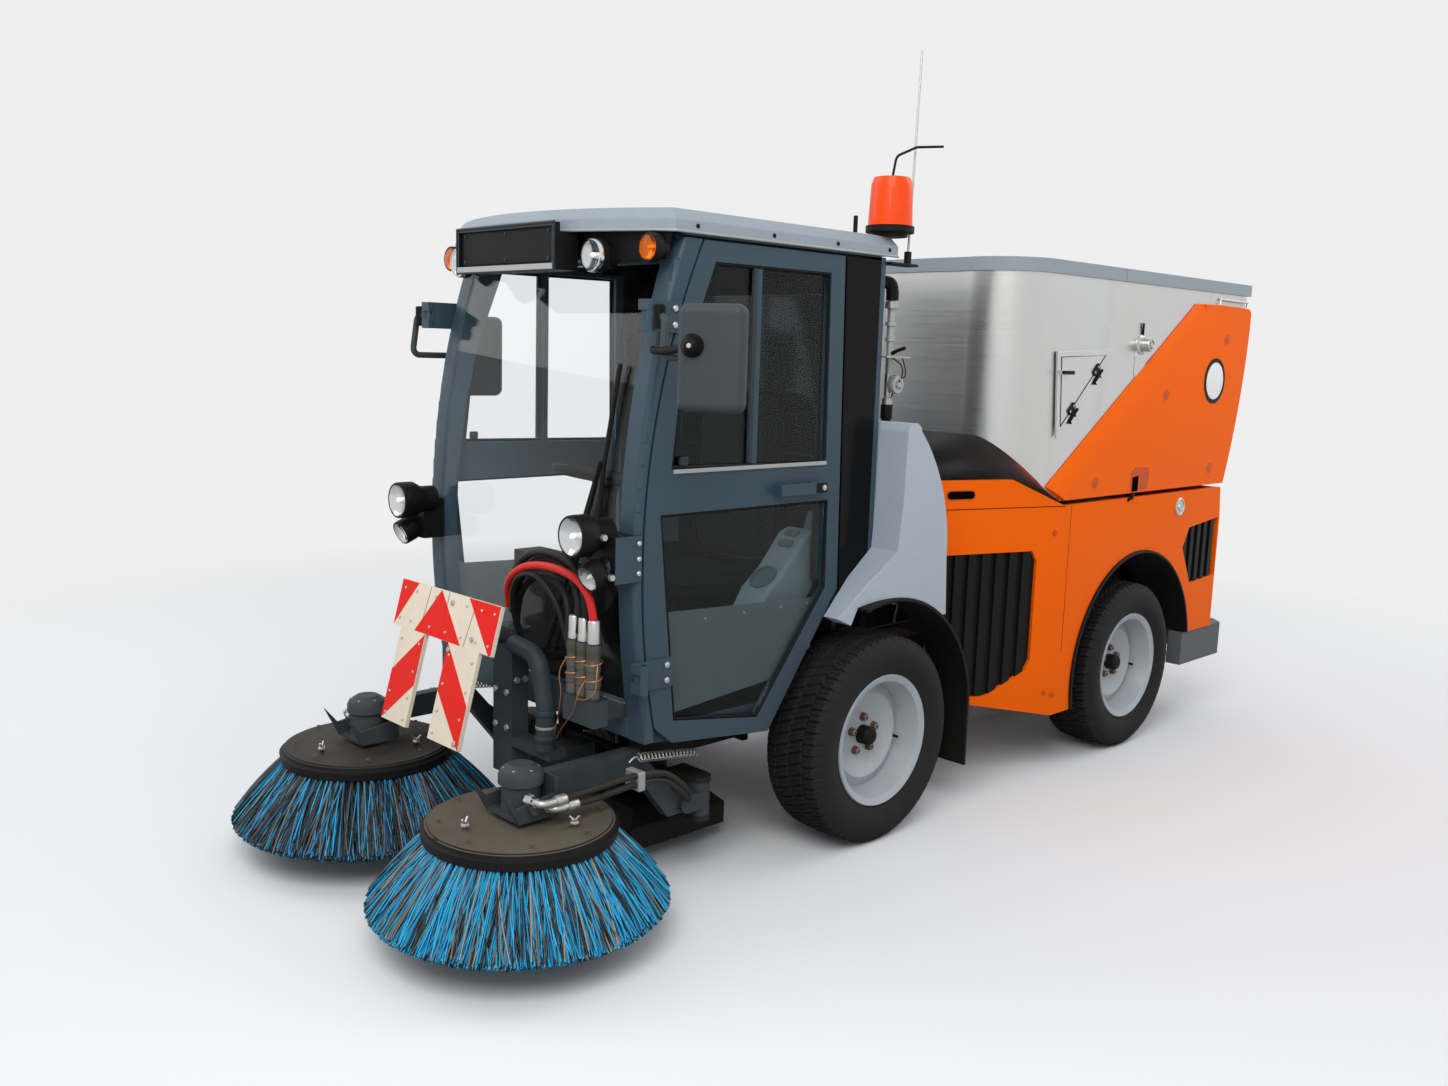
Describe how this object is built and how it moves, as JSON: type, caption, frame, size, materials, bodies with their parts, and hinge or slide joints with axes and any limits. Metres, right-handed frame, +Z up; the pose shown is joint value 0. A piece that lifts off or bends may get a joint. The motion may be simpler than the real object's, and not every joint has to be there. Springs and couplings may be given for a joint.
{
  "type": "compact street sweeper",
  "caption": "Articulated compact street sweeper: glazed cab with twin front brooms, suction duct, and a tipping stainless hopper over an orange rear body on small dished wheels.",
  "frame": {"origin": "on the ground under the middle of the whole machine at rest", "axes": "-Y forward, +X to the machine's left, +Z up"},
  "size_m": [1.7352, 4.233, 2.5669],
  "materials": {
    "cab_paint": "slate blue-grey enamel",
    "roof_paint": "light grey paint",
    "silver_paint": "pale grey paint",
    "orange_paint": "gloss orange paint",
    "frame_paint": "satin black paint",
    "broom_paint": "worn slate paint",
    "stainless": "brushed stainless",
    "disc_steel": "dusty steel",
    "rim_paint": "pale grey wheel paint",
    "tyre_rubber": "dusty tread",
    "glass": "clear glazing",
    "black_plastic": "grained black moulding",
    "gloss_black": "gloss black panel",
    "bristle_blue": "stiff bristles",
    "seat_cloth": "black seat cloth",
    "lamp_chrome": "lamp housings",
    "amber": "amber dome",
    "board_paint": "red and white stripes",
    "hose_rubber": "hydraulic hose",
    "bumper_grey": "grey moulding",
    "engine_iron": "dark casting"
  },
  "bodies": {
    "rear_unit": {"rear_frame": "frame_paint", "rear_body": "orange_paint", "rear_grilles": "black_plastic", "rear_liners": "black_plastic", "rear_bumper": "bumper_grey", "engine_block": "engine_iron"},
    "front_unit": {"front_frame": "frame_paint", "cab_pillars": "cab_paint", "cab_tub": "cab_paint", "quarter_panels": "gloss_black", "cab_glass": "glass", "cab_roof": "roof_paint", "roof_brow": "black_plastic", "lamps": "lamp_chrome", "wiper": "black_plastic", "seat": "seat_cloth", "cab_controls": "black_plastic", "front_fenders": "silver_paint", "front_mudguards": "black_plastic", "beacon": "amber", "broom_carrier": "frame_paint", "suction_gear": "black_plastic", "warning_board": "board_paint", "front_boom": "cab_paint", "front_hoses": "hose_rubber"},
    "hopper": {"hopper_tank": "stainless", "hopper_side_panels": "orange_paint", "hopper_cover": "roof_paint"},
    "front_lid": {"hopper_front_lid": "roof_paint"},
    "rear_gate": {"hopper_rear_door": "stainless"},
    "door_left": {"door_left": "cab_paint", "door_glass_left": "glass", "mirror_left": "black_plastic"},
    "inspection_left": {"inspection_door_left": "stainless"},
    "swing_left": {"broom_bracket_left": "broom_paint"},
    "arm_left": {"broom_arm_left": "broom_paint"},
    "broom_left": {"broom_disc_left": "disc_steel", "broom_bristles_left": "bristle_blue"},
    "wheel_front_left": {"tyre_front_left": "tyre_rubber", "rim_front_left": "rim_paint"},
    "wheel_rear_left": {"tyre_rear_left": "tyre_rubber", "rim_rear_left": "rim_paint"},
    "door_right": {"door_right": "cab_paint", "door_glass_right": "glass", "mirror_right": "black_plastic"},
    "inspection_right": {"inspection_door_right": "stainless"},
    "swing_right": {"broom_bracket_right": "broom_paint"},
    "arm_right": {"broom_arm_right": "broom_paint"},
    "broom_right": {"broom_disc_right": "disc_steel", "broom_bristles_right": "bristle_blue"},
    "wheel_front_right": {"tyre_front_right": "tyre_rubber", "rim_front_right": "rim_paint"},
    "wheel_rear_right": {"tyre_rear_right": "tyre_rubber", "rim_rear_right": "rim_paint"}
  },
  "joints": [
    {"name": "articulation", "type": "hinge", "parent": "rear_unit", "child": "front_unit", "pos_m": [0, 0.4015, 0.375], "axis": [0, 0, 1], "range_deg": [-30, 30]},
    {"name": "hopper_tip", "type": "hinge", "parent": "rear_unit", "child": "hopper", "pos_m": [0, 1.9745, 1.122], "axis": [-1, 0, 0], "range_deg": [0, 50]},
    {"name": "front_lid_hinge", "type": "hinge", "parent": "hopper", "child": "front_lid", "pos_m": [0, 0.9585, 1.979], "axis": [-1, 0, 0], "range_deg": [0, 75]},
    {"name": "rear_gate_hinge", "type": "hinge", "parent": "hopper", "child": "rear_gate", "pos_m": [0, 2.1045, 1.888], "axis": [1, 0, 0], "range_deg": [0, 60]},
    {"name": "wheel_front_left_spin", "type": "hinge", "parent": "front_unit", "child": "wheel_front_left", "pos_m": [0.5375, -0.4135, 0.35], "axis": [1, 0, 0], "continuous": true},
    {"name": "wheel_rear_left_spin", "type": "hinge", "parent": "rear_unit", "child": "wheel_rear_left", "pos_m": [0.5375, 1.2165, 0.35], "axis": [1, 0, 0], "continuous": true},
    {"name": "door_left_hinge", "type": "hinge", "parent": "front_unit", "child": "door_left", "pos_m": [0.569, -1.3945, 1.195], "axis": [0, 0, -1], "range_deg": [0, 78]},
    {"name": "broom_left_swing", "type": "hinge", "parent": "front_unit", "child": "swing_left", "pos_m": [0.44, -1.0535, 0.25], "axis": [0, 0, 1], "range_deg": [0, 30]},
    {"name": "broom_left_lift", "type": "hinge", "parent": "swing_left", "child": "arm_left", "pos_m": [0.44, -1.1255, 0.25], "axis": [-1, 0, 0], "range_deg": [-5, 6]},
    {"name": "broom_left_spin", "type": "hinge", "parent": "arm_left", "child": "broom_left", "pos_m": [0.424, -1.6985, 0.338], "axis": [0, 0, 1], "continuous": true},
    {"name": "inspection_left_hinge", "type": "hinge", "parent": "hopper", "child": "inspection_left", "pos_m": [0.646, 0.52689, 1.31609], "axis": [0, 0.7387, 0.674], "range_deg": [0, 100]},
    {"name": "wheel_front_right_spin", "type": "hinge", "parent": "front_unit", "child": "wheel_front_right", "pos_m": [-0.5375, -0.4135, 0.35], "axis": [1, 0, 0], "continuous": true},
    {"name": "wheel_rear_right_spin", "type": "hinge", "parent": "rear_unit", "child": "wheel_rear_right", "pos_m": [-0.5375, 1.2165, 0.35], "axis": [1, 0, 0], "continuous": true},
    {"name": "door_right_hinge", "type": "hinge", "parent": "front_unit", "child": "door_right", "pos_m": [-0.569, -1.3945, 1.195], "axis": [0, 0, 1], "range_deg": [0, 78]},
    {"name": "broom_right_swing", "type": "hinge", "parent": "front_unit", "child": "swing_right", "pos_m": [-0.44, -1.0535, 0.25], "axis": [0, 0, -1], "range_deg": [0, 30]},
    {"name": "broom_right_lift", "type": "hinge", "parent": "swing_right", "child": "arm_right", "pos_m": [-0.44, -1.1255, 0.25], "axis": [-1, 0, 0], "range_deg": [-5, 6]},
    {"name": "broom_right_spin", "type": "hinge", "parent": "arm_right", "child": "broom_right", "pos_m": [-0.424, -1.6985, 0.338], "axis": [0, 0, 1], "continuous": true},
    {"name": "inspection_right_hinge", "type": "hinge", "parent": "hopper", "child": "inspection_right", "pos_m": [-0.646, 0.52689, 1.31609], "axis": [0, -0.7387, -0.674], "range_deg": [0, 100]}
  ]
}
